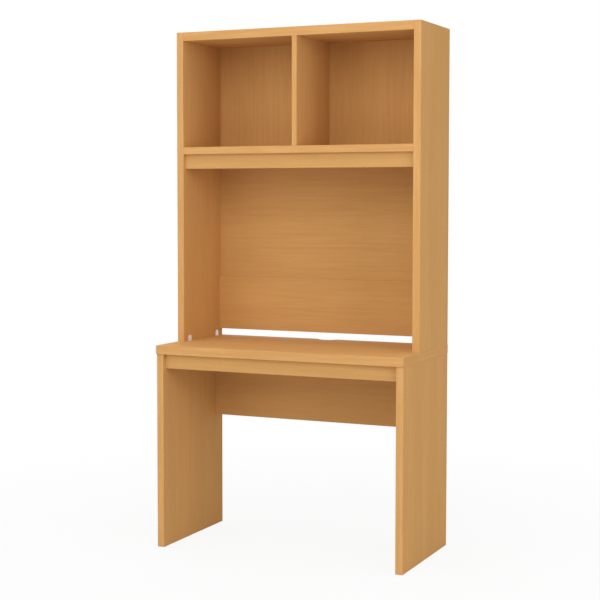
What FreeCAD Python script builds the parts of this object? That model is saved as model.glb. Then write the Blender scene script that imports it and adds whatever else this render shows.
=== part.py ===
import FreeCAD, Part
import math
import os
import Sketcher
from FreeCAD import Placement, Rotation, Vector

# A student desk with a hutch, in millimetres. +Z is up, -Y is the front, and +X is to the right of a person
# who sits at it. The origin is on the floor, under the middle of the desktop.

SIZES = [
    ("desk_width", 900, "desktop, side to side"),
    ("desk_depth", 450, "desktop, front to rear"),
    ("desk_height", 700, "floor to the desktop's upper face"),
    ("desktop_thickness", 30, "desktop board"),
    ("side_thickness", 25, "side boards of desk and hutch"),
    ("side_reveal", 1, "desktop past each side's outer face"),
    ("front_overhang", 5, "desktop past the desk sides' front edges"),
    ("board_thickness", 18, "apron, modesty panel, valance, divider and back rail"),
    ("apron_height", 50, "apron"),
    ("apron_recess", 16, "apron behind the desk sides' front edges"),
    ("modesty_height", 260, "modesty panel"),
    ("modesty_setback", 36, "modesty panel's rear face from the desk's rear"),
    ("total_height", 1780, "floor to the top of the hutch"),
    ("hutch_depth", 295, "hutch sides, front to rear"),
    ("hutch_top_thickness", 30, "hutch top board"),
    ("shelf_thickness", 25, "hutch shelf board"),
    ("cubby_height", 368, "shelf to the underside of the top"),
    ("valance_height", 50, "valance"),
    ("valance_recess", 14, "valance behind the hutch's front edges"),
    ("back_thickness", 4, "thin back boards"),
    ("back_setback", 7, "thin backs' rear face from the hutch's rear"),
    ("groove_depth", 6, "grooves that hold the thin backs"),
    ("groove_clearance", 0.2, "room round a thin back or a tongue in its groove"),
    ("rail_height", 190, "back rail"),
    ("rail_setback", 3, "back rail's rear face from the hutch's rear"),
    ("cable_gap", 25, "desktop to the underside of the back rail"),
    ("notch_radius", 34, "cable notch, its round bottom"),
    ("notch_depth", 25, "cable notch, into the desktop's rear edge"),
    ("arris_width", 0.8, "bevel of the boards' open edges"),
    ("tongue_thickness", 8, "tongues of the boards that are let into others"),
    ("tongue_length", 6, "tongues, into their grooves"),
    ("tongue_inset", 12, "tongues, from the ends of the edge that they are on"),
    ("fitting_clearance", 0.2, "room round a fitting in its hole"),
    ("lock_diameter", 15, "cam lock"),
    ("lock_length", 12, "cam lock"),
    ("lock_setting", 9, "cam lock's open face to its bolt's axis"),
    ("lock_reach", 24, "joint to the cam lock's axis"),
    ("bolt_diameter", 6, "cam bolt"),
    ("bolt_seat", 11, "cam bolt, screwed into the other board"),
    ("desk_lock_inset", 110, "desk side's cam locks from its front and rear edges"),
    ("hutch_lock_inset", 70, "hutch top's cam locks from the hutch's front and rear edges"),
    ("connector_inset", 43, "hutch connectors from the hutch's front and rear edges"),
    ("housing_radius", 9.5, "connector housing, round top of the sunk part"),
    ("housing_centre_height", 9.5, "connector housing, centre of its round top over the desktop"),
    ("housing_depth", 13, "connector housing, sunk in the side"),
    ("flange_radius", 11, "connector housing, round top of the flange"),
    ("flange_thickness", 0.8, "connector housing, proud of the side"),
    ("cam_height", 7, "connector cam's axis over the desktop"),
    ("cam_radius", 5.5, "connector cam"),
    ("cam_running_clearance", 0.08, "connector cam in its housing, all round"),
    ("cam_end_clearance", 0.2, "connector cam, short of the rear of its housing"),
    ("chamber_radius", 4.6, "connector cam, eccentric chamber for the bolt's head"),
    ("chamber_offset", 0.4, "connector cam, chamber's axis above the cam's axis"),
    ("head_radius", 2.3, "connector bolt, head"),
    ("head_height", 2.6, "connector bolt, head"),
    ("head_drop", 3.2, "connector bolt, head's shoulder below the cam's axis"),
    ("head_clearance", 0.3, "head and stud in the ways that they pass through"),
    ("stud_radius", 1.6, "connector bolt, stud"),
    ("stud_seat", 11, "connector bolt, screwed into the desktop"),
    ("connector_setting", 7, "connector bolt's axis behind the side's inner face"),
    ("driver_length", 7.5, "connector cam, arms of the cross recess"),
    ("driver_width", 1.4, "connector cam, arms of the cross recess"),
    ("driver_depth", 1.6, "connector cam, cross recess"),
]

document = FreeCAD.newDocument("StudentDesk")
sheet = document.addObject("Spreadsheet::Sheet", "Sizes")
for row, (alias, value, meaning) in enumerate(SIZES, start=1):
    sheet.set(f"A{row}", meaning)
    sheet.set(f"B{row}", str(value))
    sheet.setAlias(f"B{row}", alias)
document.recompute()

# Levels and places that several boards share, worked out from the sheet.
SIDE_OUTER = "(Sizes.desk_width / 2 - Sizes.side_reveal)"
SIDE_INNER = f"({SIDE_OUTER} - Sizes.side_thickness)"
CLEAR_WIDTH = f"(2 * {SIDE_INNER})"
REAR = "(Sizes.desk_depth / 2)"
DESK_FRONT = "(-Sizes.desk_depth / 2)"
SIDE_FRONT = f"({DESK_FRONT} + Sizes.front_overhang)"
DESK_UNDER = "(Sizes.desk_height - Sizes.desktop_thickness)"
APRON_FRONT = f"({SIDE_FRONT} + Sizes.apron_recess)"
MODESTY_FRONT = f"({REAR} - Sizes.modesty_setback - Sizes.board_thickness)"
HUTCH_FRONT = f"({REAR} - Sizes.hutch_depth)"
VALANCE_FRONT = f"({HUTCH_FRONT} + Sizes.valance_recess)"
TOP_UNDER = "(Sizes.total_height - Sizes.hutch_top_thickness)"
SHELF_TOP = f"({TOP_UNDER} - Sizes.cubby_height)"
SHELF_UNDER = f"({SHELF_TOP} - Sizes.shelf_thickness)"
RAIL_FRONT = f"({REAR} - Sizes.rail_setback - Sizes.board_thickness)"
RAIL_UNDER = "(Sizes.desk_height + Sizes.cable_gap)"
RAIL_TOP = f"({RAIL_UNDER} + Sizes.rail_height)"
BACK_FRONT = f"({REAR} - Sizes.back_setback - Sizes.back_thickness)"
BACK_REACH = "(Sizes.groove_depth - Sizes.groove_clearance)"
HALF_BOARD = "(Sizes.board_thickness / 2)"
HALF_TONGUE = "(Sizes.tongue_thickness / 2)"
HEAD_WAY = "(Sizes.head_radius + Sizes.head_clearance)"
STUD_WAY = "(Sizes.stud_radius + Sizes.head_clearance)"

AXES = "XYZ"
ORIGIN_PLANES = {"X": ("YZ_Plane", 1), "Y": ("XZ_Plane", -1), "Z": ("XY_Plane", 1)}
BOARD_SIDES = {"left": "-X", "right": "+X", "front": "-Y", "rear": "+Y", "low": "-Z", "high": "+Z"}
HALF_TURN = 180
SAME_PLACE = 1e-6

boards = {}
drillings = {}
sub_parts = []


def number(expression):
    """The value of an expression in the sheet's sizes."""
    return float(sheet.evalExpression(expression))


def vector(expressions):
    """A point from three expressions."""
    return Vector(*[number(expression) for expression in expressions])


def shift(point, direction, distance):
    """The point moved along a direction such as +X or -Z, as expressions."""
    moved = list(point)
    place = AXES.index(direction[1])
    moved[place] = f"({moved[place]} {direction[0]} ({distance}))"
    return tuple(moved)


def opposite(direction):
    """The direction that points the other way."""
    return ("-" if direction[0] == "+" else "+") + direction[1]


def unit(direction):
    """The unit vector of a direction such as +X."""
    parts = [0.0, 0.0, 0.0]
    parts[AXES.index(direction[1])] = 1.0 if direction[0] == "+" else -1.0
    return Vector(*parts)


def new_body(name, corner, turned=0):
    """A body whose own origin stands at a point of the desk, turned about the upright by so many degrees."""
    body = document.addObject("PartDesign::Body", name)
    body.Label = name
    body.Placement = Placement(Vector(), Rotation(Vector(0, 0, 1), turned))
    for axis, expression in zip("xyz", corner):
        body.setExpression(f"Placement.Base.{axis}", expression)
    return body


def new_sketch(body, axis, level):
    """A sketch square to one of the body's axes, at a level along it."""
    role, sign = ORIGIN_PLANES[axis]
    sketch = body.newObject("Sketcher::SketchObject", "Sketch")
    sketch.AttachmentSupport = [(plane, "") for plane in body.Origin.OriginFeatures if plane.Role == role]
    sketch.MapMode = "FlatFace"
    sketch.setExpression("AttachmentOffset.Base.z", f"{sign} * ({level})")
    return sketch


def hold(sketch, kind, where, expression):
    """A constraint of the sketch that takes its value from an expression."""
    index = sketch.addConstraint(Sketcher.Constraint(kind, *where, number(expression)))
    sketch.setExpression(f"Constraints[{index}]", expression)


def hold_point(sketch, geometry, point, across, up):
    """Holds a point of the sketch at a distance across and up from the sketch's origin."""
    hold(sketch, "DistanceX", (-1, 1, geometry, point), across)
    hold(sketch, "DistanceY", (-1, 1, geometry, point), up)


def add_rectangle(sketch, low, high):
    """A rectangle between two corners, each a pair of expressions."""
    left, bottom = [number(expression) for expression in low]
    right, top = [number(expression) for expression in high]
    corners = [Vector(left, bottom), Vector(right, bottom), Vector(right, top), Vector(left, top)]
    lines = [sketch.addGeometry(Part.LineSegment(corners[i], corners[(i + 1) % 4])) for i in range(4)]
    for i in range(4):
        sketch.addConstraint(Sketcher.Constraint("Coincident", lines[i], 2, lines[(i + 1) % 4], 1))
        sketch.addConstraint(Sketcher.Constraint("Vertical" if i % 2 else "Horizontal", lines[i]))
    hold_point(sketch, lines[0], 1, *low)
    hold_point(sketch, lines[2], 1, *high)


def add_circle(sketch, centre, radius):
    """A circle round a centre given as a pair of expressions."""
    across, up = [number(expression) for expression in centre]
    circle = sketch.addGeometry(Part.Circle(Vector(across, up), Vector(0, 0, 1), number(radius)))
    hold_point(sketch, circle, 3, *centre)
    hold(sketch, "Radius", (circle,), radius)


def add_square(sketch, centre, half):
    """A square round a centre, with the given half width."""
    low = [f"{place} - {half}" for place in centre]
    high = [f"{place} + {half}" for place in centre]
    add_rectangle(sketch, low, high)


def add_arch(sketch, centre, radius):
    """A round top over straight sides that come down to the sketch's level axis."""
    across, up = [number(expression) for expression in centre]
    size = number(radius)
    circle = Part.Circle(Vector(across, up), Vector(0, 0, 1), size)
    arc = sketch.addGeometry(Part.ArcOfCircle(circle, 0, math.pi))
    corners = [Vector(across - size, up), Vector(across - size, 0),
               Vector(across + size, 0), Vector(across + size, up)]
    lines = [sketch.addGeometry(Part.LineSegment(corners[i], corners[i + 1])) for i in range(3)]
    sketch.addConstraint(Sketcher.Constraint("Tangent", arc, 2, lines[0], 1))
    sketch.addConstraint(Sketcher.Constraint("Tangent", arc, 1, lines[2], 2))
    for i in range(2):
        sketch.addConstraint(Sketcher.Constraint("Coincident", lines[i], 2, lines[i + 1], 1))
    sketch.addConstraint(Sketcher.Constraint("Vertical", lines[0]))
    sketch.addConstraint(Sketcher.Constraint("Vertical", lines[2]))
    sketch.addConstraint(Sketcher.Constraint("PointOnObject", lines[0], 2, -1))
    sketch.addConstraint(Sketcher.Constraint("PointOnObject", lines[2], 1, -1))
    hold_point(sketch, arc, 3, *centre)
    hold(sketch, "Radius", (arc,), radius)


def grow(body, sketch, length, direction):
    """Pads the sketch along a direction such as +Z."""
    pad = body.newObject("PartDesign::Pad", "Pad")
    pad.Profile = sketch
    pad.setExpression("Length", length)
    pad.Reversed = (direction[0] == "+") == (ORIGIN_PLANES[direction[1]][1] < 0)
    document.recompute()
    return pad


def cut(body, sketch, depth, direction):
    """Cuts the sketch into the body along a direction such as -Z, and makes sure that it cuts something."""
    before = body.Shape.Volume
    pocket = body.newObject("PartDesign::Pocket", "Pocket")
    pocket.Profile = sketch
    pocket.setExpression("Length", depth)
    pocket.Reversed = (direction[0] == "+") == (ORIGIN_PLANES[direction[1]][1] > 0)
    document.recompute()
    if body.Shape.Volume > before - SAME_PLACE:
        raise RuntimeError(f"a cut in {body.Label} takes nothing away")
    return pocket


def soften(body, feature, names):
    """Bevels the named edges of a feature."""
    bevel = body.newObject("PartDesign::Chamfer", "Arris")
    bevel.Base = (feature, names)
    bevel.setExpression("Size", "Sizes.arris_width")
    document.recompute()


def edges_between(shape, wanted):
    """Names of a board's edges. Each wanted edge is the two sides that it lies on, such as front and low."""
    limits = shape.BoundBox
    ends = {"-X": limits.XMin, "+X": limits.XMax, "-Y": limits.YMin, "+Y": limits.YMax,
            "-Z": limits.ZMin, "+Z": limits.ZMax}
    names = []
    for index, edge in enumerate(shape.Edges, start=1):
        middle = edge.CenterOfMass
        for sides in wanted:
            ways = [BOARD_SIDES[side] for side in sides]
            if all(abs(middle[AXES.index(way[1])] - ends[way]) < SAME_PLACE for way in ways):
                names.append(f"Edge{index}")
    return names


def make_board(name, corner, lengths, soft_edges=()):
    """A board that stands with its lowest corner at a point, with the given lengths along X, Y and Z."""
    body = new_body(name, corner)
    sketch = new_sketch(body, "Z", "0")
    add_rectangle(sketch, ("0", "0"), lengths[:2])
    pad = grow(body, sketch, lengths[2], "+Z")
    if soft_edges:
        soften(body, pad, edges_between(pad.Shape, soft_edges))
    boards[name] = (body, corner)
    sub_parts.append(body)
    return body


def local(name, point):
    """A point of the desk, measured from a board's lowest corner, as expressions."""
    return tuple(f"({place} - ({base}))" for place, base in zip(point, boards[name][1]))


def cut_box(name, direction, low, high, depth):
    """Cuts a square-cornered groove into a board, from the face that holds the box's low and high corners."""
    body = boards[name][0]
    low, high = local(name, low), local(name, high)
    across, up = [axis for axis in range(3) if AXES[axis] != direction[1]]
    sketch = new_sketch(body, direction[1], low[AXES.index(direction[1])])
    add_rectangle(sketch, (low[across], low[up]), (high[across], high[up]))
    cut(body, sketch, depth, direction)


def join_tongue(name, mate, direction, low, high):
    """Gives a board a tongue on one face, between two corners, and cuts the groove for it into the mate."""
    body = boards[name][0]
    place = AXES.index(direction[1])
    across, up = [axis for axis in range(3) if axis != place]
    start, end = local(name, low), local(name, high)
    sketch = new_sketch(body, direction[1], start[place])
    add_rectangle(sketch, (start[across], start[up]), (end[across], end[up]))
    grow(body, sketch, "Sizes.tongue_length", direction)
    for axis in (across, up):
        low = shift(low, f"-{AXES[axis]}", "Sizes.groove_clearance")
        high = shift(high, f"+{AXES[axis]}", "Sizes.groove_clearance")
    cut_box(mate, direction, low, high, "Sizes.tongue_length + Sizes.groove_clearance")


def plan_hole(name, mouth, direction, radius, depth):
    """Notes a hole for a board. Holes of one size in one face are drilled together."""
    point = local(name, mouth)
    place = AXES.index(direction[1])
    centre = tuple(point[axis] for axis in range(3) if axis != place)
    drillings.setdefault((name, direction, point[place], radius, depth), []).append(centre)


def drill_boards():
    """Drills every hole that was noted."""
    for (name, direction, level, radius, depth), centres in drillings.items():
        body = boards[name][0]
        sketch = new_sketch(body, direction[1], level)
        for centre in centres:
            add_circle(sketch, centre, radius)
        cut(body, sketch, depth, direction)


def make_desk_boards():
    """The desktop on its two sides, the apron and the modesty panel."""
    desktop_corner = ("-Sizes.desk_width / 2", DESK_FRONT, DESK_UNDER)
    desktop = make_board("desktop", desktop_corner,
                         ("Sizes.desk_width", "Sizes.desk_depth", "Sizes.desktop_thickness"))
    notch = new_sketch(desktop, "Z", "Sizes.desktop_thickness")
    add_circle(notch, ("Sizes.desk_width / 2", "Sizes.desk_depth - Sizes.notch_depth + Sizes.notch_radius"),
               "Sizes.notch_radius")
    notched = cut(desktop, notch, "Sizes.desktop_thickness", "-Z")
    soften(desktop, notched, [f"Edge{index + 1}" for index in range(len(notched.Shape.Edges))])
    side_lengths = ("Sizes.side_thickness", "Sizes.desk_depth - Sizes.front_overhang", DESK_UNDER)
    upright_edges = [("left", "front"), ("right", "front"), ("left", "rear"), ("right", "rear")]
    make_board("desk_left_side", (f"-{SIDE_OUTER}", SIDE_FRONT, "0"), side_lengths, upright_edges)
    make_board("desk_right_side", (SIDE_INNER, SIDE_FRONT, "0"), side_lengths, upright_edges)
    lower_edges = [("front", "low"), ("rear", "low")]
    make_board("desk_apron", (f"-{SIDE_INNER}", APRON_FRONT, f"{DESK_UNDER} - Sizes.apron_height"),
               (CLEAR_WIDTH, "Sizes.board_thickness", "Sizes.apron_height"), lower_edges)
    make_board("desk_modesty_panel",
               (f"-{SIDE_INNER}", MODESTY_FRONT, f"{DESK_UNDER} - Sizes.modesty_height"),
               (CLEAR_WIDTH, "Sizes.board_thickness", "Sizes.modesty_height"), lower_edges)


def make_hutch_boards():
    """The hutch: two sides, top, shelf, divider, valance and back rail."""
    side_lengths = ("Sizes.side_thickness", "Sizes.hutch_depth", "Sizes.total_height - Sizes.desk_height")
    side_edges = [("left", "front"), ("right", "front"), ("left", "rear"), ("right", "rear")]
    make_board("hutch_left_side", (f"-{SIDE_OUTER}", HUTCH_FRONT, "Sizes.desk_height"), side_lengths,
               side_edges + [("left", "high")])
    make_board("hutch_right_side", (SIDE_INNER, HUTCH_FRONT, "Sizes.desk_height"), side_lengths,
               side_edges + [("right", "high")])
    make_board("hutch_top", (f"-{SIDE_INNER}", HUTCH_FRONT, TOP_UNDER),
               (CLEAR_WIDTH, "Sizes.hutch_depth", "Sizes.hutch_top_thickness"),
               [("front", "low"), ("front", "high"), ("rear", "high")])
    make_board("hutch_shelf", (f"-{SIDE_INNER}", HUTCH_FRONT, SHELF_UNDER),
               (CLEAR_WIDTH, "Sizes.hutch_depth", "Sizes.shelf_thickness"),
               [("front", "low"), ("front", "high")])
    divider_depth = f"{BACK_FRONT} - Sizes.groove_clearance - {HUTCH_FRONT}"
    make_board("hutch_divider", (f"-{HALF_BOARD}", HUTCH_FRONT, SHELF_TOP),
               ("Sizes.board_thickness", divider_depth, "Sizes.cubby_height"),
               [("left", "front"), ("right", "front")])
    make_board("hutch_valance", (f"-{SIDE_INNER}", VALANCE_FRONT, f"{SHELF_UNDER} - Sizes.valance_height"),
               (CLEAR_WIDTH, "Sizes.board_thickness", "Sizes.valance_height"),
               [("front", "low"), ("rear", "low")])
    make_board("hutch_back_rail", (f"-{SIDE_INNER}", RAIL_FRONT, RAIL_UNDER),
               (CLEAR_WIDTH, "Sizes.board_thickness", "Sizes.rail_height"),
               [("front", "low"), ("rear", "low"), ("front", "high"), ("rear", "high")])


def make_backs():
    """The two thin backs, and the grooves that hold them in the sides, top, shelf and back rail."""
    back_left = f"-{SIDE_INNER} - {BACK_REACH}"
    back_width = f"{CLEAR_WIDTH} + 2 * {BACK_REACH}"
    make_board("hutch_cubby_back", (back_left, BACK_FRONT, f"{SHELF_TOP} - {BACK_REACH}"),
               (back_width, "Sizes.back_thickness", f"Sizes.cubby_height + 2 * {BACK_REACH}"))
    make_board("hutch_lower_back", (back_left, BACK_FRONT, f"{RAIL_TOP} - {BACK_REACH}"),
               (back_width, "Sizes.back_thickness", f"{SHELF_UNDER} - {RAIL_TOP} + 2 * {BACK_REACH}"))
    groove_front = f"{BACK_FRONT} - Sizes.groove_clearance"
    groove_rear = f"{BACK_FRONT} + Sizes.back_thickness + Sizes.groove_clearance"
    for side, sign, inward in both_sides("hutch"):
        face = f"{sign}{SIDE_INNER}"
        cut_box(side, opposite(inward), (face, groove_front, f"{RAIL_TOP} - Sizes.groove_depth"),
                (face, groove_rear, f"{TOP_UNDER} + Sizes.groove_depth"), "Sizes.groove_depth")
    level_grooves = [("hutch_top", "+Z", TOP_UNDER), ("hutch_shelf", "-Z", SHELF_TOP),
                     ("hutch_shelf", "+Z", SHELF_UNDER), ("hutch_back_rail", "-Z", RAIL_TOP)]
    for name, direction, face in level_grooves:
        cut_box(name, direction, (f"-{SIDE_INNER}", groove_front, face), (SIDE_INNER, groove_rear, face),
                "Sizes.groove_depth")


def both_sides(unit_name):
    """The two sides of desk or hutch: each one's name, the sign of its X and the way in from it."""
    return [(f"{unit_name}_left_side", "-", "+X"), (f"{unit_name}_right_side", "+", "-X")]


def make_tongues():
    """Lets the apron, valance, modesty panel, back rail, shelf and divider into the boards round them."""
    edge_left = f"-({SIDE_INNER} - Sizes.tongue_inset)"
    edge_right = f"({SIDE_INNER} - Sizes.tongue_inset)"
    for name, mate, front, level in (("desk_apron", "desktop", APRON_FRONT, DESK_UNDER),
                                     ("desk_modesty_panel", "desktop", MODESTY_FRONT, DESK_UNDER),
                                     ("hutch_valance", "hutch_shelf", VALANCE_FRONT, SHELF_UNDER)):
        middle = f"{front} + {HALF_BOARD}"
        join_tongue(name, mate, "+Z", (edge_left, f"{middle} - {HALF_TONGUE}", level),
                    (edge_right, f"{middle} + {HALF_TONGUE}", level))
    for unit_name, name, front, low, high in (
            ("desk", "desk_modesty_panel", MODESTY_FRONT, f"{DESK_UNDER} - Sizes.modesty_height", DESK_UNDER),
            ("hutch", "hutch_back_rail", RAIL_FRONT, RAIL_UNDER, RAIL_TOP)):
        middle = f"{front} + {HALF_BOARD}"
        for side, sign, inward in both_sides(unit_name):
            join_tongue(name, side, opposite(inward),
                        (f"{sign}{SIDE_INNER}", f"{middle} - {HALF_TONGUE}", f"{low} + Sizes.tongue_inset"),
                        (f"{sign}{SIDE_INNER}", f"{middle} + {HALF_TONGUE}", f"{high} - Sizes.tongue_inset"))
    start = f"{HUTCH_FRONT} + Sizes.tongue_inset"
    end = f"{BACK_FRONT} - Sizes.tongue_inset"
    for mate, direction, level in (("hutch_top", "+Z", TOP_UNDER), ("hutch_shelf", "-Z", SHELF_TOP)):
        join_tongue("hutch_divider", mate, direction, (f"-{HALF_TONGUE}", start, level),
                    (HALF_TONGUE, end, level))
    middle = f"({SHELF_UNDER} + {SHELF_TOP}) / 2"
    for side, sign, inward in both_sides("hutch"):
        face = f"{sign}{SIDE_INNER}"
        join_tongue("hutch_shelf", side, opposite(inward), (face, start, f"{middle} - {HALF_TONGUE}"),
                    (face, end, f"{middle} + {HALF_TONGUE}"))


def cam_joints(unit_name):
    """Each cam lock: its board, the other board, where the bolt leaves that, and the ways that both point."""
    joints = []
    for side, sign, inward in both_sides(unit_name):
        if unit_name == "desk":
            bolt_x = f"{sign}({SIDE_INNER} + Sizes.lock_setting)"
            for y in (f"{SIDE_FRONT} + Sizes.desk_lock_inset", f"{REAR} - Sizes.desk_lock_inset"):
                joints.append((side, "desktop", (bolt_x, y, DESK_UNDER), "-Z", inward))
        else:
            end = f"{sign}{SIDE_INNER}"
            level = "Sizes.total_height - Sizes.lock_setting"
            for y in (f"{HUTCH_FRONT} + Sizes.hutch_lock_inset", f"{REAR} - Sizes.hutch_lock_inset"):
                joints.append(("hutch_top", side, (end, y, level), inward, "+Z"))
    return joints


def cylinder(name, radius, height, base, direction):
    """A round bar from a base point along a direction."""
    bar = document.addObject("Part::Cylinder", name)
    bar.setExpression("Radius", radius)
    bar.setExpression("Height", height)
    bar.Placement = Placement(Vector(), Rotation(Vector(0, 0, 1), unit(direction)))
    for axis, expression in zip("xyz", base):
        bar.setExpression(f"Placement.Base.{axis}", expression)
    return bar


def joined(kind, name, base, tool):
    """A boolean of two shapes."""
    result = document.addObject(kind, name)
    result.Base = base
    result.Tool = tool
    return result


def make_group(name, pattern, places):
    """One sub-part of separate solids: copies of a pattern, each with the ways that its X and Z point."""
    document.recompute()
    copies = []
    for point, x_way, z_way in places:
        along = unit(x_way)
        up = unit(z_way)
        copy = pattern.Shape.copy()
        place = Placement(vector(point), Rotation(along, up.cross(along), up, "XZY"))
        copy.Placement = place.multiply(copy.Placement)
        copies.append(copy)
    group = document.addObject("Part::Feature", name)
    group.Label = name
    group.Shape = Part.makeCompound(copies)
    sub_parts.append(group)


def make_cam_fittings():
    """Cam locks with a slot for the bolt, cam bolts, and the holes for both."""
    lock_base = ("Sizes.lock_reach", "0", "Sizes.lock_setting - Sizes.lock_length")
    lock_bar = cylinder("lock_bar", "Sizes.lock_diameter / 2", "Sizes.lock_length", lock_base, "+Z")
    slot = document.addObject("Part::Box", "lock_slot")
    slot_width = "(Sizes.bolt_diameter + 2 * Sizes.fitting_clearance)"
    for side in ("Width", "Height"):
        slot.setExpression(side, slot_width)
    slot.setExpression("Length", "Sizes.lock_diameter / 2 + Sizes.fitting_clearance")
    slot.setExpression("Placement.Base.x", "Sizes.lock_reach - Sizes.lock_diameter / 2")
    for axis in "yz":
        slot.setExpression(f"Placement.Base.{axis}", f"-{slot_width} / 2")
    lock = joined("Part::Cut", "cam_lock_pattern", lock_bar, slot)
    bolt = cylinder("cam_bolt_pattern", "Sizes.bolt_diameter / 2", "Sizes.bolt_seat + Sizes.lock_reach",
                    ("-Sizes.bolt_seat", "0", "0"), "+X")
    lock_hole_radius = "Sizes.lock_diameter / 2 + Sizes.fitting_clearance"
    bolt_hole_radius = "Sizes.bolt_diameter / 2 + Sizes.fitting_clearance"
    bolt_hole_depth = "Sizes.bolt_seat + Sizes.fitting_clearance"
    for unit_name in ("desk", "hutch"):
        joints = cam_joints(unit_name)
        places = [(point, bolt_way, lock_way) for board, mate, point, bolt_way, lock_way in joints]
        make_group(f"{unit_name}_cam_locks", lock, places)
        make_group(f"{unit_name}_cam_bolts", bolt, places)
        for board, mate, point, bolt_way, lock_way in joints:
            mouth = shift(shift(point, bolt_way, "Sizes.lock_reach"), lock_way, "Sizes.lock_setting")
            plan_hole(board, mouth, opposite(lock_way), lock_hole_radius, "Sizes.lock_length")
            plan_hole(board, point, bolt_way, bolt_hole_radius, "Sizes.lock_reach")
            plan_hole(mate, point, opposite(bolt_way), bolt_hole_radius, bolt_hole_depth)


# Places inside a hutch connector, measured from the rear of its housing, its flange's edge and the desktop.
CONNECTOR_MIDDLE = "Sizes.flange_radius"
CONNECTOR_FACE = "(Sizes.housing_depth + Sizes.flange_thickness)"
CAM_AXIS = (CONNECTOR_MIDDLE, "Sizes.cam_height")
BOLT_AXIS = "(Sizes.housing_depth - Sizes.connector_setting)"


def make_connector_housing():
    """A moulded housing: an arched block with a flange, a bore for the cam and a way in for the bolt."""
    body = new_body("connector_housing_pattern", ("0", "0", "0"))
    block = new_sketch(body, "X", "0")
    add_arch(block, (CONNECTOR_MIDDLE, "Sizes.housing_centre_height"), "Sizes.housing_radius")
    grow(body, block, "Sizes.housing_depth", "+X")
    flange = new_sketch(body, "X", "Sizes.housing_depth")
    add_arch(flange, (CONNECTOR_MIDDLE, "Sizes.housing_centre_height"), "Sizes.flange_radius")
    grow(body, flange, "Sizes.flange_thickness", "+X")
    bore = new_sketch(body, "X", CONNECTOR_FACE)
    add_circle(bore, CAM_AXIS, "Sizes.cam_radius + Sizes.cam_running_clearance")
    cut(body, bore, CONNECTOR_FACE, "-X")
    entry = new_sketch(body, "Z", "0")
    add_square(entry, (BOLT_AXIS, CONNECTOR_MIDDLE), HEAD_WAY)
    cut(body, entry, "Sizes.cam_height", "+Z")
    return body


def make_connector_cam(name, corner, turned):
    """A cup with an off-centre chamber for the bolt's head, a slot half round it, a mouth and a recess."""
    body = new_body(name, corner, turned)
    cup = new_sketch(body, "X", "Sizes.cam_end_clearance")
    add_circle(cup, CAM_AXIS, "Sizes.cam_radius")
    grow(body, cup, f"{CONNECTOR_FACE} - Sizes.cam_end_clearance", "+X")
    chamber = new_sketch(body, "X", "Sizes.cam_end_clearance")
    add_circle(chamber, (CONNECTOR_MIDDLE, "Sizes.cam_height + Sizes.chamber_offset"), "Sizes.chamber_radius")
    cut(body, chamber, f"{BOLT_AXIS} + {HEAD_WAY} - Sizes.cam_end_clearance", "+X")
    slot = new_sketch(body, "Z", "Sizes.cam_height - Sizes.cam_radius")
    add_rectangle(slot, (f"{BOLT_AXIS} - {STUD_WAY}", f"{CONNECTOR_MIDDLE} - Sizes.cam_radius"),
                  (f"{BOLT_AXIS} + {STUD_WAY}", f"{CONNECTOR_MIDDLE} + {STUD_WAY}"))
    cut(body, slot, "2 * Sizes.cam_radius", "+Z")
    mouth = new_sketch(body, "Z", "Sizes.cam_height")
    add_square(mouth, (BOLT_AXIS, CONNECTOR_MIDDLE), HEAD_WAY)
    cut(body, mouth, "Sizes.cam_radius", "+Z")
    middle, height = CAM_AXIS
    for half_across, half_up in (("Sizes.driver_length / 2", "Sizes.driver_width / 2"),
                                 ("Sizes.driver_width / 2", "Sizes.driver_length / 2")):
        arm = new_sketch(body, "X", CONNECTOR_FACE)
        add_rectangle(arm, (f"{middle} - {half_across}", f"{height} - {half_up}"),
                      (f"{middle} + {half_across}", f"{height} + {half_up}"))
        cut(body, arm, "Sizes.driver_depth", "-X")
    sub_parts.append(body)


def make_connectors():
    """Four eccentric connectors that hold the hutch down on the desktop, with their pockets and bolts."""
    shoulder = "(Sizes.cam_height - Sizes.head_drop)"
    stud = cylinder("connector_stud", "Sizes.stud_radius", f"Sizes.stud_seat + {shoulder}",
                    ("-Sizes.stud_seat", "0", "0"), "+X")
    head = cylinder("connector_head", "Sizes.head_radius", "Sizes.head_height", (shoulder, "0", "0"), "+X")
    bolt = joined("Part::Fuse", "connector_bolt_pattern", stud, head)
    housing = make_connector_housing()
    bolt_places = []
    rows = (("front", f"{HUTCH_FRONT} + Sizes.connector_inset"), ("rear", f"{REAR} - Sizes.connector_inset"))
    for side, sign, inward in both_sides("hutch"):
        hand = side.split("_")[1]
        turned = 0 if inward == "+X" else HALF_TURN
        housing_places = []
        for row_name, y in rows:
            edge = f"{y} {sign} Sizes.flange_radius"
            corner = (f"{sign}({SIDE_INNER} + Sizes.housing_depth)", edge, "Sizes.desk_height")
            housing_places.append((corner, inward, "+Z"))
            make_connector_cam(f"connector_cam_{row_name}_{hand}", corner, turned)
            foot = (f"{sign}({SIDE_INNER} + Sizes.connector_setting)", y, "Sizes.desk_height")
            bolt_places.append((foot, "+Z", "+Y"))
            plan_hole("desktop", foot, "-Z", "Sizes.stud_radius + Sizes.fitting_clearance",
                      "Sizes.stud_seat + Sizes.fitting_clearance")
            pocket = new_sketch(boards[side][0], "X", local(side, (f"{sign}{SIDE_INNER}", y, "0"))[0])
            add_arch(pocket, (local(side, ("0", y, "0"))[1], "Sizes.housing_centre_height"),
                     "Sizes.housing_radius + Sizes.fitting_clearance")
            cut(boards[side][0], pocket, "Sizes.housing_depth + Sizes.fitting_clearance", opposite(inward))
        make_group(f"connector_housings_{hand}", housing, housing_places)
    make_group("connector_bolts", bolt, bolt_places)


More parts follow.
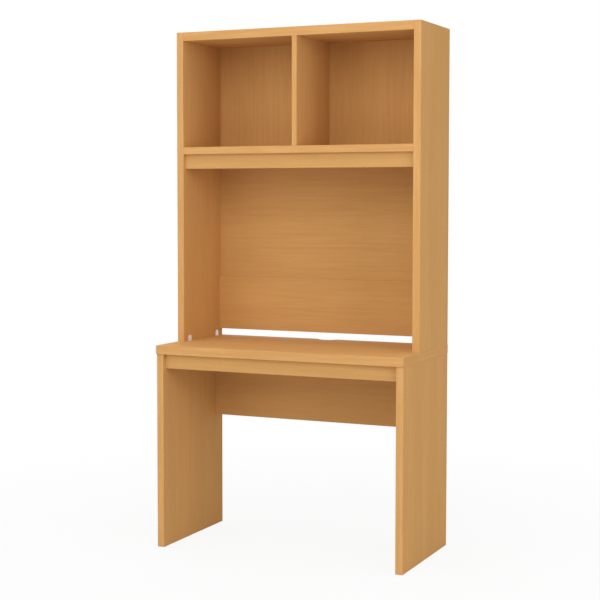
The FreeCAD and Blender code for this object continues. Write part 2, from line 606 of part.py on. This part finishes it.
def check_document():
    """Stops where an object failed or a sub-part has no sound shape."""
    document.recompute()
    for item in document.Objects:
        if "Invalid" in item.State or "Error" in item.State:
            raise RuntimeError(f"{item.Label} failed")
    for item in sub_parts:
        if item.Shape.isNull() or not item.Shape.isValid():
            raise RuntimeError(f"{item.Label} has no sound shape")


def write_parts():
    """Writes each sub-part to a file of its own name."""
    os.makedirs("parts", exist_ok=True)
    for item in sub_parts:
        item.Shape.exportStep(f"parts/{item.Label}.step")


make_desk_boards()
make_hutch_boards()
make_backs()
make_tongues()
make_cam_fittings()
make_connectors()
drill_boards()
check_document()
write_parts()
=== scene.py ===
import math
from functools import reduce

import bpy
import numpy as np
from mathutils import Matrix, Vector


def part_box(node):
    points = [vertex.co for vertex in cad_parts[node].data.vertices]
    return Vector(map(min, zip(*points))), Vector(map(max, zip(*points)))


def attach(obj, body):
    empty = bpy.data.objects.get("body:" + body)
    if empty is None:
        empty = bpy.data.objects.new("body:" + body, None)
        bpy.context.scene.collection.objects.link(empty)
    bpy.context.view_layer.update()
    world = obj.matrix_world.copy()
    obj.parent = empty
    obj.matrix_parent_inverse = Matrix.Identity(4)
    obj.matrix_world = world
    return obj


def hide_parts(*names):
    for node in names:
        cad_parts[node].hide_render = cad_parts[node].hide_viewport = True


# The looks of a student desk with a hutch, in metres: finishes, finer fittings, floor, light and camera.
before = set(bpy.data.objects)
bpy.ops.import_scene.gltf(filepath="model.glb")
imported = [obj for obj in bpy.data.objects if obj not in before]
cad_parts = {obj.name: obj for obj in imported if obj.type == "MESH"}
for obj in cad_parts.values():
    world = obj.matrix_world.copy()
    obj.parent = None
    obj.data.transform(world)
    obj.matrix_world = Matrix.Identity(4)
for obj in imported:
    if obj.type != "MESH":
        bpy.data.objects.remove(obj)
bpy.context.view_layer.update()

X, Y, Z = 0, 1, 2
UP = (0.0, 0.0, 1.0)
MM = 0.001
WHITE = (1, 1, 1, 1)

# Each board's grain axis, then the axis through its thickness.
BOARD_GRAIN = {
    "desktop": (X, Z),
    "desk_left_side": (Z, X),
    "desk_right_side": (Z, X),
    "desk_apron": (X, Y),
    "desk_modesty_panel": (X, Y),
    "hutch_left_side": (Z, X),
    "hutch_right_side": (Z, X),
    "hutch_top": (X, Z),
    "hutch_shelf": (X, Z),
    "hutch_divider": (Z, X),
    "hutch_valance": (X, Y),
    "hutch_back_rail": (X, Y),
    "hutch_cubby_back": (Z, Y),
    "hutch_lower_back": (X, Y),
}

# Beech laminate.
BEECH_LIGHT = (0.650, 0.359, 0.130, 1)
BEECH_DARK = (0.581, 0.312, 0.106, 1)
BEECH_ROSY = (0.605, 0.321, 0.117, 1)
BEECH_PORE = (0.400, 0.195, 0.066, 1)
BEECH_WORN = (0.720, 0.450, 0.210, 1)
BEECH_SHEEN = 0.02
BEECH_BUMP = (0.12, 0.2 * MM)
FIRST_SEED = 1.3
SEED_STEP = 3.7

# Each layer of the grain: its scale along and across the grain, and the detail and roughness of its noise.
GRAIN_LAYERS = {
    "bands": (0.9, 13.0, 3.0, 0.55),
    "streaks": (4.6, 95.0, 3.0, 0.6),
    "lines": (2.6, 420.0, 2.0, 0.5),
    "fibres": (22.0, 1300.0, 2.0, 0.5),
    "pores": (150.0, 1500.0, 1.0, 0.5),
    "blush": (1.7, 7.0, 2.0, 0.5),
}
TONE_SHARES = {"bands": 0.45, "streaks": 0.38, "lines": 0.17}
TONE_RANGE = (0.30, 0.70)
STRONG_TONE_RANGE = (0.36, 0.64)
STRONG_FIGURE = ("hutch_cubby_back", "hutch_lower_back", "hutch_back_rail")

# Each ramp: the noise at its start and end, and the amount there.
BLUSH_RAMP = (0.45, 0.75, 0.0, 0.5)
FIBRE_RAMP = (0.55, 0.80, 0.0, 0.20)
PORE_RAMP = (0.66, 0.74, 0.0, 0.55)
RUBBED_RAMP = (0.40, 0.70, 0.0, 0.30)
STREAK_ROUGHNESS = (0.2, 0.8, 0.54, 0.64)
SMUDGE_ROUGHNESS = (0.35, 0.70, 0.0, 0.06)
SMUDGE_NOISE = (9.0, 3.0)

# Edging on the narrow faces. It shows on a broad face as a rim with a seam inside it.
EDGING = 2.0 * MM
EDGING_TONE = (0.610, 0.314, 0.108, 1)
EDGING_SHARE = 0.5
SEAM = 0.12 * MM
SEAM_TONE = (0.360, 0.185, 0.066, 1)
SEAM_RAMP = (0.5 * SEAM, SEAM, 0.6, 0.0)
WEAR_RAMP = (0.4 * EDGING, 0.8 * EDGING, 1.0, 0.0)

# The faces that have no laminate: their axis, which way they face, and their dark and light fibres. The
# back rail's top face keeps the fibre mottle, but its pale tones are painted light that lifts the shade
# cast on it by the shelf.
HARDBOARD = ((0.270, 0.155, 0.072, 1), (0.400, 0.255, 0.135, 1))
CHIPBOARD = ((0.330, 0.220, 0.120, 1), (0.600, 0.460, 0.300, 1))
# Painted light: pale tones for the back rail's top face, which lies in the shelf's shade, so that no dark
# line shows along it.
RAIL_TOP_PAINTED_LIGHT = ((0.700, 0.420, 0.180, 1), (0.860, 0.540, 0.250, 1))
BARE_FACES = {
    "hutch_cubby_back": (Y, 1.0, HARDBOARD),
    "hutch_lower_back": (Y, 1.0, HARDBOARD),
    "desk_left_side": (Z, -1.0, CHIPBOARD),
    "desk_right_side": (Z, -1.0, CHIPBOARD),
    "hutch_back_rail": (Z, 1.0, RAIL_TOP_PAINTED_LIGHT),
}
MOTTLE_NOISE = (420.0, 4.0, 0.65)
MOTTLE_SHARE = 0.86
STAIN_NOISE = (6.0, 3.0, 0.6)
STAIN_SHARE = 0.14
BARE_TONE_RANGE = (0.34, 0.66)
BARE_ROUGHNESS = (0.2, 0.8, 0.70, 0.86)
BARE_RELIEF = 4.0

# The least part of a normal along an axis on an end face or a bare face, and on a broad face.
END_FACING = 0.6
BROAD_FACING = 0.9

# White plastic of the connector housings.
PLASTIC_TONES = ((0.925, 0.945, 0.96, 1), (0.95, 0.97, 0.985, 1))
PLASTIC_MOTTLE = (260.0, 3.0)
PLASTIC_GRAIN = (5200.0, 2.0)
PLASTIC_ROUGHNESS = (0.2, 0.8, 0.36, 0.48)
PLASTIC_BUMP = (0.10, 0.1 * MM)

# Metals: their dark and light tones, then their least and greatest roughness.
DIE_CAST_ZINC = ((0.58, 0.585, 0.59, 1), (0.70, 0.705, 0.71, 1), 0.46, 0.60)
PLATED_STEEL = ((0.60, 0.59, 0.56, 1), (0.72, 0.71, 0.68, 1), 0.32, 0.50)
# The connector cams' zinc: a lighter copy of the die-cast zinc, painted light that lifts the cams out of
# the shade inside the hutch.
CAM_ZINC_PAINTED_LIGHTER = ((0.80, 0.81, 0.82, 1), (0.90, 0.91, 0.92, 1), 0.42, 0.56)
METAL_STAIN = (420.0, 4.0, 0.6)
METAL_STAIN_RANGE = (0.25, 0.75)
METAL_SKIN = (3600.0, 2.0)
METAL_BUMP = (0.2, 0.15 * MM)

# The dot that shows which way a connector cam is turned.
DOT_TONE = (0.22, 0.22, 0.23, 1)
DOT_REACH = 4.6 * MM
DOT_RADIUS = 0.5 * MM
DOT_RAMP = (0.6 * DOT_RADIUS, DOT_RADIUS, 1.0, 0.0)
DOT_DEPTH = 4.0

# Where a Mix node has its colours.
MIX_COLOURS_IN = (6, 7)
MIX_COLOUR_OUT = 2


class Finish:
    """The node tree of a material or a world, with short calls to add nodes and join them."""

    def __init__(self, owner):
        owner.use_nodes = True
        self.owner = owner
        self.tree = owner.node_tree

    @property
    def shader(self):
        """A material's own shader."""
        return self.tree.nodes["Principled BSDF"]

    def add(self, kind, inputs=(), **settings):
        """A node with its settings, and its inputs set to numbers or joined to sockets."""
        node = self.tree.nodes.new(kind)
        for name, value in settings.items():
            setattr(node, name, value)
        for name, value in dict(inputs).items():
            self.give(node.inputs[name], value)
        return node

    def give(self, socket, value):
        """Sets a socket to a value, or joins it to another node's output."""
        if isinstance(value, bpy.types.NodeSocket):
            self.tree.links.new(value, socket)
        else:
            socket.default_value = value

    def object_place(self):
        """A point's place in its piece's own coordinates."""
        return self.add("ShaderNodeTexCoord").outputs["Object"]

    def work(self, operation, first, second=0.0):
        """One step of arithmetic."""
        return self.add("ShaderNodeMath", {0: first, 1: second}, operation=operation).outputs[0]

    def combine(self, operation, values):
        """The same step of arithmetic from the first of some values to the last."""
        return reduce(lambda first, second: self.work(operation, first, second), values)

    def total(self, parts):
        """Pairs of a value and its share, multiplied and added up."""
        return self.combine("ADD", [self.work("MULTIPLY", value, share) for value, share in parts])

    def ramp(self, value, low, high, out_low=0.0, out_high=1.0):
        """A value between low and high, smoothly carried to the new limits."""
        inputs = {"Value": value, "From Min": low, "From Max": high, "To Min": out_low, "To Max": out_high}
        return self.add("ShaderNodeMapRange", inputs, interpolation_type="SMOOTHSTEP").outputs["Result"]

    def pick(self, amount, first, second):
        """Two numbers mixed by an amount."""
        return self.add("ShaderNodeMix", {"Factor": amount, "A": first, "B": second}).outputs[0]

    def blend(self, amount, first, second):
        """Two colours mixed by an amount."""
        node = self.add("ShaderNodeMix", {"Factor": amount}, data_type="RGBA")
        for place, colour in zip(MIX_COLOURS_IN, (first, second)):
            self.give(node.inputs[place], colour)
        return node.outputs[MIX_COLOUR_OUT]

    def noise(self, vector, scale, detail, roughness=0.5):
        """Soft noise, from 0 to 1."""
        inputs = {"Vector": vector, "Scale": scale, "Detail": detail, "Roughness": roughness}
        return self.add("ShaderNodeTexNoise", inputs).outputs["Fac"]

    def close(self, colour, roughness, height, bump_strength, bump_depth):
        """Joins colour, roughness and a height to the shader, and gives back the material."""
        inputs = {"Height": height, "Strength": bump_strength, "Distance": bump_depth}
        bump = self.add("ShaderNodeBump", inputs)
        self.give(self.shader.inputs["Base Color"], colour)
        self.give(self.shader.inputs["Roughness"], roughness)
        self.give(self.shader.inputs["Normal"], bump.outputs["Normal"])
        return self.owner


def new_finish(name):
    """An empty finish for a new material."""
    return Finish(bpy.data.materials.new(name))


def facing_along(finish, facing, axis, least):
    """1 on faces whose normal goes along an axis, either way, and 0 on the others."""
    return finish.work("GREATER_THAN", finish.work("ABSOLUTE", facing[axis]), least)


def grain_vector(finish, points, facing, grain, through, seed):
    """Along and across the grain on every face: end faces turn the grain along their own length."""
    other = X + Y + Z - grain - through
    at_end = facing_along(finish, facing, grain, END_FACING)
    along = finish.pick(at_end, points[grain], points[other])
    across_face = finish.work("ADD", points[other], points[through])
    across_end = finish.work("ADD", points[through], points[grain])
    across = finish.pick(at_end, across_face, across_end)
    return finish.add("ShaderNodeCombineXYZ", {"X": along, "Y": across, "Z": seed}).outputs[0]


def grain_layer(finish, vector, along, across, detail, roughness):
    """Noise with its own scale along and across the grain."""
    inputs = {"Vector": vector, "Scale": (along, across, 1.0)}
    stretched = finish.add("ShaderNodeMapping", inputs).outputs[0]
    return finish.noise(stretched, 1.0, detail, roughness)


def laminate_colour(finish, layers, pore, node):
    """Broad tone bands with soft streaks and lines, then a rosy blush, fine fibres and short pores."""
    tone = finish.total([(layers[name], share) for name, share in TONE_SHARES.items()])
    tone_range = STRONG_TONE_RANGE if node in STRONG_FIGURE else TONE_RANGE
    colour = finish.blend(finish.ramp(tone, *tone_range), BEECH_DARK, BEECH_LIGHT)
    colour = finish.blend(finish.ramp(layers["blush"], *BLUSH_RAMP), colour, BEECH_ROSY)
    fibre = finish.ramp(layers["fibres"], *FIBRE_RAMP)
    return finish.blend(finish.work("MAXIMUM", fibre, pore), colour, BEECH_PORE)


def rim_distance(finish, points, node, through):
    """How far a point of a board's broad face is from the board's nearest edge."""
    low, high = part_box(node)
    gaps = []
    for axis in (X, Y, Z):
        if axis != through:
            gaps.append(finish.work("SUBTRACT", points[axis], low[axis]))
            gaps.append(finish.work("SUBTRACT", high[axis], points[axis]))
    return finish.combine("MINIMUM", gaps)


def edged_colour(finish, colour, rim, broad, seam, streaks):
    """A colour with the edging over it, the seam inside the edging, and arrises that are rubbed pale."""
    inside = finish.work("MULTIPLY", broad, finish.work("GREATER_THAN", rim, EDGING))
    colour = finish.blend(finish.pick(inside, EDGING_SHARE, 0.0), colour, EDGING_TONE)
    colour = finish.blend(seam, colour, SEAM_TONE)
    rubbed = finish.ramp(streaks, *RUBBED_RAMP)
    worn = finish.work("MULTIPLY", finish.ramp(rim, *WEAR_RAMP), rubbed)
    return finish.blend(worn, colour, BEECH_WORN)


def bare_fibres(finish, place, tones):
    """The colour, roughness and height of pressed or chipped fibres: a fine mottle with a broad stain."""
    mottle = finish.noise(place, *MOTTLE_NOISE)
    stain = finish.noise(place, *STAIN_NOISE)
    tone = finish.total([(mottle, MOTTLE_SHARE), (stain, STAIN_SHARE)])
    colour = finish.blend(finish.ramp(tone, *BARE_TONE_RANGE), *tones)
    return colour, finish.ramp(mottle, *BARE_ROUGHNESS), finish.work("MULTIPLY", mottle, BARE_RELIEF)


def beech(node, grain, through, seed):
    """A board's beech laminate and edging, and its bare fibres where a face has no laminate; on the back
    rail's top face these fibres get pale tones that are painted light.
    """
    finish = new_finish(f"beech_{node}")
    coordinates = finish.add("ShaderNodeTexCoord").outputs
    place = coordinates["Object"]
    points = finish.add("ShaderNodeSeparateXYZ", {"Vector": place}).outputs
    facing = finish.add("ShaderNodeSeparateXYZ", {"Vector": coordinates["Normal"]}).outputs
    vector = grain_vector(finish, points, facing, grain, through, seed)
    layers = {name: grain_layer(finish, vector, *layer) for name, layer in GRAIN_LAYERS.items()}
    pore = finish.ramp(layers["pores"], *PORE_RAMP)
    colour = laminate_colour(finish, layers, pore, node)

    rim = rim_distance(finish, points, node, through)
    broad = facing_along(finish, facing, through, BROAD_FACING)
    seam_gap = finish.work("ABSOLUTE", finish.work("SUBTRACT", rim, EDGING))
    seam = finish.work("MULTIPLY", broad, finish.ramp(seam_gap, *SEAM_RAMP))
    colour = edged_colour(finish, colour, rim, broad, seam, layers["streaks"])

    smudge = finish.ramp(finish.noise(place, *SMUDGE_NOISE), *SMUDGE_ROUGHNESS)
    roughness = finish.work("ADD", finish.ramp(layers["streaks"], *STREAK_ROUGHNESS), smudge)
    height = finish.work("SUBTRACT", layers["fibres"], finish.work("MAXIMUM", pore, seam))
    # On the back rail's top face the bare tones are painted light, which lifts the shade cast by the shelf.
    if node in BARE_FACES:
        axis, way, tones = BARE_FACES[node]
        bare = finish.work("GREATER_THAN", finish.work("MULTIPLY", facing[axis], way), END_FACING)
        bare_colour, bare_roughness, bare_height = bare_fibres(finish, place, tones)
        colour = finish.blend(bare, colour, bare_colour)
        roughness = finish.pick(bare, roughness, bare_roughness)
        height = finish.pick(bare, height, bare_height)
    finish.shader.inputs["Specular IOR Level"].default_value = BEECH_SHEEN
    return finish.close(colour, roughness, height, *BEECH_BUMP)


def moulded_white(name):
    """White moulded plastic with a faint flow mottle and a fine grain."""
    finish = new_finish(name)
    place = finish.object_place()
    mottle = finish.noise(place, *PLASTIC_MOTTLE)
    grain = finish.noise(place, *PLASTIC_GRAIN)
    colour = finish.blend(mottle, *PLASTIC_TONES)
    return finish.close(colour, finish.ramp(mottle, *PLASTIC_ROUGHNESS), grain, *PLASTIC_BUMP)


def cast_metal(name, dark, light, smooth, rough, dot=None):
    """Cast or plated metal with a fine skin, faint stains and, where it is given, a small sunk dot."""
    finish = new_finish(name)
    place = finish.object_place()
    stain = finish.noise(place, *METAL_STAIN)
    skin = finish.noise(place, *METAL_SKIN)
    roughness = finish.ramp(stain, *METAL_STAIN_RANGE, smooth, rough)
    colour = finish.blend(stain, dark, light)
    if dot is not None:
        away = finish.add("ShaderNodeVectorMath", {0: place, 1: dot}, operation="DISTANCE").outputs["Value"]
        sunk = finish.ramp(away, *DOT_RAMP)
        colour = finish.blend(sunk, colour, DOT_TONE)
        skin = finish.work("SUBTRACT", skin, finish.work("MULTIPLY", sunk, DOT_DEPTH))
    finish.shader.inputs["Metallic"].default_value = 1.0
    return finish.close(colour, roughness, skin, *METAL_BUMP)


def cam_dot(node):
    """Where a connector cam has its dot: on its face, over the mouth that lets the bolt's head out."""
    low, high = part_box(node)
    face = high.x if low.x < 0.0 else low.x
    return face, (low.y + high.y) / 2.0, (low.z + high.z) / 2.0 + DOT_REACH


def dress(node, material):
    """Gives a CAD node its material."""
    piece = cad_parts[node]
    piece.data.materials.clear()
    piece.data.materials.append(material)


def dress_boards():
    """Beech on every board, each with its own seed."""
    for number, (node, (grain, through)) in enumerate(BOARD_GRAIN.items()):
        dress(node, beech(node, grain, through, FIRST_SEED + SEED_STEP * number))


def dress_fittings(white_plastic, zinc, steel):
    """Plastic, zinc and steel on the connectors, cam locks and bolts."""
    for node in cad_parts:
        if node.startswith("connector_housings"):
            dress(node, white_plastic)
        elif node.startswith("connector_cam"):
            # The cams get the lighter zinc: painted light against the hutch's shade.
            dress(node, cast_metal(f"cam_zinc_painted_lighter_{node}", *CAM_ZINC_PAINTED_LIGHTER, cam_dot(node)))
        elif node.endswith("cam_locks"):
            dress(node, zinc)
        elif node.endswith("bolts"):
            dress(node, steel)


# Cam lock, in millimetres.
LOCK_RADIUS = 7.5
LOCK_LENGTH = 12.0
LOCK_ARRIS = 0.35
CROSS_REACH = 4.3
CROSS_HALF_WIDTH = 0.85
CROSS_DEPTH = 2.2
CROSS_SLOPE = 0.14
MARK_INNER = 5.1
MARK_OUTER = 6.7
MARK_HALF_WIDTH = 0.75
MARK_DEPTH = 0.45
LOCK_ROWS = 46
LOCK_COLUMNS = 120


def step_down(distance, slope):
    """A smooth step: 1 where distance is under minus slope, 0 where it is over slope."""
    share = np.clip((slope - distance) / (2.0 * slope), 0.0, 1.0)
    return share * share * (3.0 - 2.0 * share)


def lock_surface():
    """A cam lock about its own axis, its open face at height 0 and its mark along +Y.

    The face is a disc of radius r and angle a, sunk by the depth of a cross, which is the nearer of two
    bars, and by a small wedge near the rim. The rim is bevelled, and the wall goes straight down to a
    closed end."""
    angle = np.linspace(0.0, 2.0 * math.pi, LOCK_COLUMNS, endpoint=False)
    flat = np.linspace(0.0, LOCK_RADIUS - LOCK_ARRIS, LOCK_ROWS)
    radius = np.concatenate([flat, [LOCK_RADIUS, LOCK_RADIUS, 0.0]])
    level = np.concatenate([np.zeros(LOCK_ROWS), [-LOCK_ARRIS, -LOCK_LENGTH, -LOCK_LENGTH]])
    x = radius[:, None] * np.cos(angle)
    y = radius[:, None] * np.sin(angle)
    level_bar = np.maximum(np.abs(x) - CROSS_REACH, np.abs(y) - CROSS_HALF_WIDTH)
    upright_bar = np.maximum(np.abs(x) - CROSS_HALF_WIDTH, np.abs(y) - CROSS_REACH)
    cross = step_down(np.minimum(level_bar, upright_bar), CROSS_SLOPE)
    taper = MARK_HALF_WIDTH * (MARK_OUTER - y) / (MARK_OUTER - MARK_INNER)
    mark = step_down(np.maximum(np.abs(x) - taper, MARK_INNER - y), CROSS_SLOPE)
    on_face = (np.arange(len(radius)) < LOCK_ROWS)[:, None]
    z = level[:, None] - on_face * (CROSS_DEPTH * cross + MARK_DEPTH * mark)
    return np.stack([x, y, z], -1)


def capped_faces(rows, columns):
    """Faces of a grid that closes round its columns and comes to one point at its first and last rows."""
    here = np.arange(columns)
    after = (here + 1) % columns
    rings = rows - 2
    start = 1 + columns * np.arange(rings - 1)[:, None]
    quads = np.stack([start + here, start + columns + here, start + columns + after, start + after], -1)
    last = 1 + columns * rings
    first_fan = np.stack([np.zeros_like(here), 1 + here, 1 + after], -1)
    last_fan = np.stack([np.full_like(here, last), last - columns + after, last - columns + here], -1)
    return quads.reshape(-1, 4).tolist() + first_fan.tolist() + last_fan.tolist()


def capped_points(grid):
    """The grid's points in the order of capped_faces, with one point for each end row."""
    return np.concatenate([grid[0, :1], grid[1:-1].reshape(-1, 3), grid[-1, :1]])


# Connector housing, in millimetres: heights over the desktop, and depths out of the side's inner face.
BLOCK_HALF_WIDTH = 9.5
BLOCK_FLOOR = 0.3
BLOCK_DEPTH = 13.0
FLANGE_HALF_WIDTH = 11.0
FLANGE_PROUD = 0.8
FLANGE_ROUND = 0.4
FLANGE_STEPS = 6
ARCH_CENTRE = 9.5
CAM_HEIGHT = 7.0
BORE_RADIUS = 5.58
DISH_RADIUS = 6.45
DISH_DEPTH = 0.22
HOUSING_COLUMNS = 144


def arch_reach(angle, half_width, floor_height=0.0):
    """From the cam's axis to an arch's outline at an angle: its floor, upright side or round top."""
    across = np.cos(angle)
    up = np.sin(angle)
    with np.errstate(divide="ignore"):
        side = half_width / np.abs(across)
        floor = np.where(up < 0.0, (floor_height - CAM_HEIGHT) / up, np.inf)
    rise = ARCH_CENTRE - CAM_HEIGHT
    crown = up * rise + np.sqrt((up * rise) ** 2 - rise ** 2 + half_width ** 2)
    wall = np.where(up * side > rise, crown, side)
    return np.minimum(floor, wall)


def housing_surface():
    """A connector housing about its cam's axis: across, up from the desktop, and out of the side.

    A closed profile is carried round the axis. It goes along the sunk block's arched wall, out to the
    flange's arch, round the flange's edge, over its face to a shallow dish, and down the cam's bore."""
    corner = math.atan2(-CAM_HEIGHT, FLANGE_HALF_WIDTH)
    angle = np.linspace(-math.pi, math.pi, HOUSING_COLUMNS, endpoint=False)
    angle = np.unique(np.concatenate([angle, [corner, -math.pi - corner]]))
    block = arch_reach(angle, BLOCK_HALF_WIDTH, BLOCK_FLOOR)
    flange = arch_reach(angle, FLANGE_HALF_WIDTH)
    ring = np.ones_like(angle)
    rows = [(block, -BLOCK_DEPTH), (block, 0.0), (flange, 0.0)]
    for turn in np.linspace(0.0, math.pi / 2.0, FLANGE_STEPS):
        inset = FLANGE_ROUND * (1.0 - math.cos(turn))
        rise = FLANGE_ROUND * (math.sin(turn) - 1.0)
        rows.append((arch_reach(angle, FLANGE_HALF_WIDTH - inset), FLANGE_PROUD + rise))
    rows += [
        (DISH_RADIUS * ring, FLANGE_PROUD),
        ((DISH_RADIUS - DISH_DEPTH) * ring, FLANGE_PROUD - DISH_DEPTH),
        (BORE_RADIUS * ring, FLANGE_PROUD - DISH_DEPTH),
        (BORE_RADIUS * ring, -BLOCK_DEPTH),
    ]
    reach = np.array([row[0] for row in rows])
    out = np.array([row[1] for row in rows])[:, None] * ring
    return np.stack([reach * np.cos(angle), CAM_HEIGHT + reach * np.sin(angle), out], -1)


def ring_faces(rows, columns):
    """Faces of a grid that closes both round its columns and from its last row to its first."""
    here = np.arange(columns)
    after = (here + 1) % columns
    row = columns * np.arange(rows)[:, None]
    next_row = columns * ((np.arange(rows) + 1) % rows)[:, None]
    quads = np.stack([row + here, row + after, next_row + after, next_row + here], -1)
    return quads.reshape(-1, 4).tolist()


def placed(points, centre, up, out):
    """Points in millimetres put about a centre in metres, with their Y turned up and their Z turned out."""
    across = np.cross(up, out)
    return np.asarray(centre) + MM * (points @ np.array([across, up, out]))


def make_set(name, points, faces, places, material, node):
    """One piece with a copy of a shape at each place, which stands for a CAD node."""
    copies = [placed(points, *place) for place in places]
    starts = [number * len(points) for number in range(len(copies))]
    rows = [[start + corner for corner in face] for start in starts for face in faces]
    mesh = bpy.data.meshes.new(name)
    mesh.from_pydata(np.concatenate(copies).tolist(), [], rows)
    piece = bpy.data.objects.new(name, mesh)
    piece.data.materials.append(material)
    bpy.context.scene.collection.objects.link(piece)
    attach(piece, "desk_and_hutch")
    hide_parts(node)


def make_locks(zinc):
    """The cam locks of the desk's sides and of the hutch's top, with their cross recesses."""
    grid = lock_surface()
    points = capped_points(grid)
    faces = capped_faces(*grid.shape[:2])
    radius = LOCK_RADIUS * MM
    length = LOCK_LENGTH * MM
    low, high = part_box("desk_cam_locks")
    places = []
    for side, face in ((1.0, low.x + length), (-1.0, high.x - length)):
        for y in (low.y + radius, high.y - radius):
            places.append(((face, y, (low.z + high.z) / 2.0), UP, (side, 0.0, 0.0)))
    make_set("desk_lock_discs", points, faces, places, zinc, "desk_cam_locks")
    low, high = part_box("hutch_cam_locks")
    places = []
    for side, x in ((-1.0, low.x + radius), (1.0, high.x - radius)):
        for y in (low.y + radius, high.y - radius):
            places.append(((x, y, high.z), (side, 0.0, 0.0), UP))
    make_set("hutch_lock_discs", points, faces, places, zinc, "hutch_cam_locks")


def make_housings(white_plastic):
    """The white housings at the foot of the hutch's sides."""
    grid = housing_surface()
    points = grid.reshape(-1, 3)
    faces = ring_faces(*grid.shape[:2])
    half_width = FLANGE_HALF_WIDTH * MM
    left_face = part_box("hutch_left_side")[1].x
    right_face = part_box("hutch_right_side")[0].x
    for hand, face, side in (("left", left_face, 1.0), ("right", right_face, -1.0)):
        node = f"connector_housings_{hand}"
        low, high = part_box(node)
        places = []
        for y in (low.y + half_width, high.y - half_width):
            places.append(((face, y, low.z), UP, (side, 0.0, 0.0)))
        make_set(f"{hand}_moulded_housings", points, faces, places, white_plastic, node)


# Floor, surroundings and lamps, in metres and watts. Each lamp has its name, place, size and power.
FLOOR_BOUNCE = (0.72, 0.72, 0.72, 1)
FLOOR_HALF = 30.0
FLOOR_DROP = 0.5 * MM
FLOOR_FADE = (0.6, 2.4, 0.90, 1.0)
PLAIN_WHITE_LIGHT = 1.0
WORLD_LIGHT = 0.48
LAMP_TARGET = (0.0, 0.0, 0.9)
LAMPS = (
    ("left_softbox", (-2.6, -4.8, 0.9), 3.0, 48.0),
    ("right_softbox", (4.3, -2.1, 1.5), 2.5, 60.0),
    ("front_softbox", (0.6, -4.8, 3.5), 3.0, 81.0),
    ("overhead_softbox", (0.0, -1.0, 5.2), 4.0, 104.0),
    ("rear_softbox", (-2.8, 3.8, 3.0), 3.0, 44.0),
)


def seen_directly(finish):
    """1 for what the camera sees, straight or in metal or glass, and 0 for what lights the desk."""
    ray = finish.add("ShaderNodeLightPath").outputs
    kinds = ("Is Camera Ray", "Is Glossy Ray", "Is Transmission Ray")
    return finish.combine("MAXIMUM", [ray[kind] for kind in kinds])


def white_floor():
    """A pale floor that keeps the desk's shadow and fades to the white background away from it."""
    finish = new_finish("pale_floor")
    finish.tree.nodes.remove(finish.shader)
    place = finish.object_place()
    length = finish.add("ShaderNodeVectorMath", {0: place}, operation="LENGTH").outputs["Value"]
    white = finish.work("MULTIPLY", seen_directly(finish), finish.ramp(length, *FLOOR_FADE))
    diffuse = finish.add("ShaderNodeBsdfDiffuse", {"Color": FLOOR_BOUNCE})
    glow = finish.add("ShaderNodeEmission", {"Color": WHITE, "Strength": PLAIN_WHITE_LIGHT})
    mixed = finish.add("ShaderNodeMixShader", {0: white, 1: diffuse.outputs[0], 2: glow.outputs[0]})
    finish.give(finish.tree.nodes["Material Output"].inputs["Surface"], mixed.outputs[0])
    return finish.owner


def make_floor():
    """A level square just under the feet."""
    corners = np.array([(-1, -1), (1, -1), (1, 1), (-1, 1)]) * FLOOR_HALF
    points = np.column_stack([corners, np.full(len(corners), -FLOOR_DROP)])
    mesh = bpy.data.meshes.new("floor")
    mesh.from_pydata(points.tolist(), [], [(0, 1, 2, 3)])
    floor = bpy.data.objects.new("floor", mesh)
    floor.data.materials.append(white_floor())
    bpy.context.scene.collection.objects.link(floor)


def make_world():
    """Even studio light from all round, and a white background for the camera."""
    studio = Finish(bpy.data.worlds.new("studio"))
    bpy.context.scene.world = studio.owner
    background = studio.tree.nodes["Background"]
    background.inputs["Color"].default_value = WHITE
    strength = studio.pick(seen_directly(studio), WORLD_LIGHT, PLAIN_WHITE_LIGHT)
    studio.give(background.inputs["Strength"], strength)


def make_lamp(name, place, size, power):
    """A square soft lamp that points at the desk."""
    lamp = bpy.data.lights.new(name, "AREA")
    lamp.size = size
    lamp.energy = power
    holder = bpy.data.objects.new(name, lamp)
    holder.location = place
    holder.rotation_euler = (Vector(LAMP_TARGET) - Vector(place)).to_track_quat("-Z", "Y").to_euler()
    bpy.context.scene.collection.objects.link(holder)


# Camera: its place and reach in metres, its sensor in millimetres, its turn in degrees. Its focus and the
# centre of its view are in pixels of a square picture.
PICTURE = 600.0
SENSOR = 36.0
CAMERA_PLACE = (1.9912, -4.4946, 1.2146)
CAMERA_YAW = 25.090
CAMERA_PITCH = 3.460
CAMERA_FOCUS = 1434.1
CAMERA_CENTRE = (272.4, 282.0)
CAMERA_REACH = 100.0
LEVEL_TILT = 90.0


def make_camera():
    """A camera turned left by its yaw and down by its pitch."""
    lens = bpy.data.cameras.new("camera")
    lens.sensor_width = SENSOR
    lens.lens = CAMERA_FOCUS * SENSOR / PICTURE
    lens.shift_x = 0.5 - CAMERA_CENTRE[0] / PICTURE
    lens.shift_y = CAMERA_CENTRE[1] / PICTURE - 0.5
    lens.clip_end = CAMERA_REACH
    holder = bpy.data.objects.new("camera", lens)
    holder.location = CAMERA_PLACE
    holder.rotation_euler = (math.radians(LEVEL_TILT - CAMERA_PITCH), 0.0, math.radians(CAMERA_YAW))
    bpy.context.scene.collection.objects.link(holder)
    bpy.context.scene.camera = holder


white_plastic = moulded_white("white_moulded_plastic")
zinc = cast_metal("die_cast_zinc", *DIE_CAST_ZINC)
steel = cast_metal("plated_steel", *PLATED_STEEL)
dress_boards()
dress_fittings(white_plastic, zinc, steel)
make_locks(zinc)
make_housings(white_plastic)
make_floor()
make_world()
for lamp in LAMPS:
    make_lamp(*lamp)
make_camera()

bpy.context.scene.view_settings.view_transform = "Standard"
bpy.context.view_layer.update()
